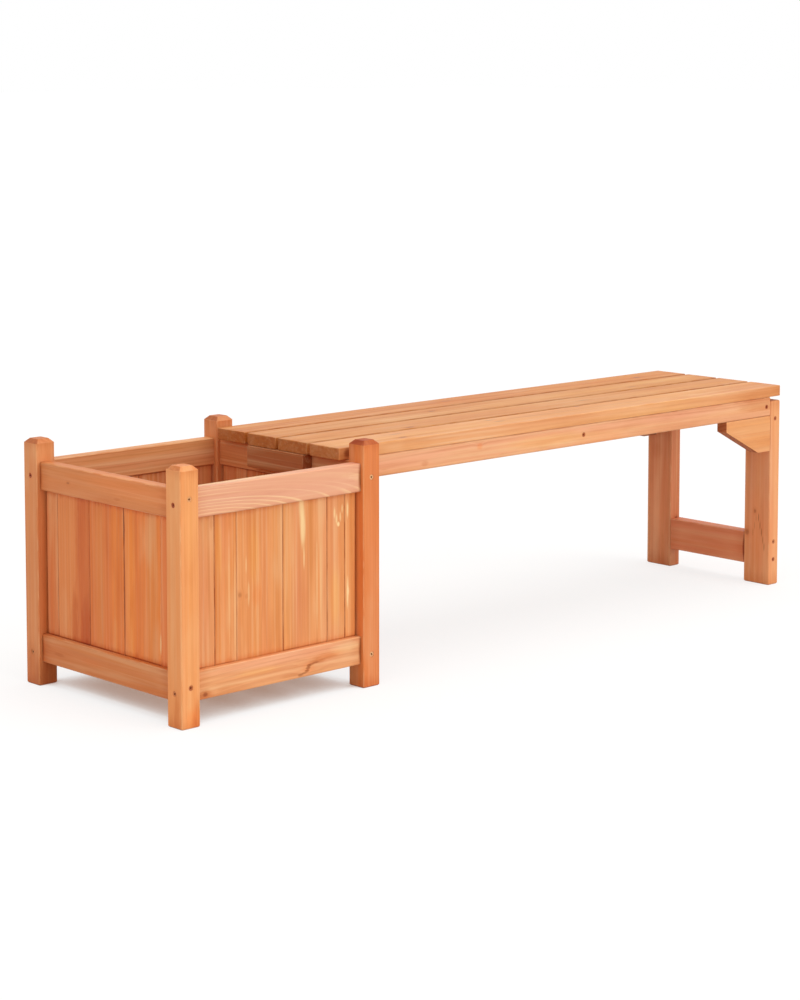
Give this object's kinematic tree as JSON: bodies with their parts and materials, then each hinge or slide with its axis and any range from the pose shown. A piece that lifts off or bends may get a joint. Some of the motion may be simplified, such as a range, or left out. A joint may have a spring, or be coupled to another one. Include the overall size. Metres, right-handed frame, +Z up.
{
  "type": "garden bench with planter",
  "caption": "Slatted timber garden bench whose seat rests at one end on a square panelled planter box and at the other on a two-legged frame with brackets.",
  "frame": {"origin": "on the ground, under the middle of the whole object's box", "axes": "+X along the seat from the planter to the legs, +Y from the front to the back, +Z up"},
  "size_m": [1.475, 0.4, 0.395],
  "materials": {
    "post_timber": "stained softwood, satin",
    "rail_timber": "stained softwood, satin",
    "board_timber": "stained softwood, satin",
    "seat_timber": "stained softwood, satin",
    "leg_timber": "stained softwood, satin",
    "inner_timber": "stained softwood, matt",
    "screw_steel": "yellow-zinc plated"
  },
  "bodies": {
    "root": {"batten_bracket": "inner_timber", "batten_hook": "inner_timber", "batten_leg": "inner_timber", "batten_middle": "inner_timber", "batten_near": "inner_timber", "bracket_back": "leg_timber", "bracket_front": "leg_timber", "leg_back": "leg_timber", "leg_front": "leg_timber", "leg_stretcher": "leg_timber", "leg_top_bar": "leg_timber", "planter_board_back_1": "board_timber", "planter_board_back_2": "board_timber", "planter_board_back_3": "board_timber", "planter_board_back_4": "board_timber", "planter_board_bench_1": "board_timber", "planter_board_bench_2": "board_timber", "planter_board_bench_3": "board_timber", "planter_board_bench_4": "board_timber", "planter_board_end_1": "board_timber", "planter_board_end_2": "board_timber", "planter_board_end_3": "board_timber", "planter_board_end_4": "board_timber", "planter_board_end_5": "board_timber", "planter_board_front_1": "board_timber", "planter_board_front_2": "board_timber", "planter_board_front_3": "board_timber", "planter_board_front_4": "board_timber", "planter_board_front_5": "board_timber", "planter_board_front_6": "board_timber", "planter_bottom_rail_back": "rail_timber", "planter_bottom_rail_bench": "rail_timber", "planter_bottom_rail_end": "rail_timber", "planter_bottom_rail_front": "rail_timber", "planter_floor_board_1": "inner_timber", "planter_floor_board_2": "inner_timber", "planter_floor_board_3": "inner_timber", "planter_floor_board_4": "inner_timber", "planter_floor_cleat_back": "inner_timber", "planter_floor_cleat_front": "inner_timber", "planter_post_back_bench": "post_timber", "planter_post_back_end": "post_timber", "planter_post_front_bench": "post_timber", "planter_post_front_end": "post_timber", "planter_top_rail_back": "rail_timber", "planter_top_rail_bench": "rail_timber", "planter_top_rail_end": "rail_timber", "planter_top_rail_front": "rail_timber", "screw_leg_lower": "screw_steel", "screw_leg_top": "screw_steel", "screw_leg_upper": "screw_steel", "screw_post_bottom": "screw_steel", "screw_rail_end": "screw_steel", "screw_rail_middle": "screw_steel", "seat_rail_back": "seat_timber", "seat_rail_front": "seat_timber", "seat_slat_1": "seat_timber", "seat_slat_2": "seat_timber", "seat_slat_3": "seat_timber", "seat_slat_4": "seat_timber"}
  },
  "joints": []
}
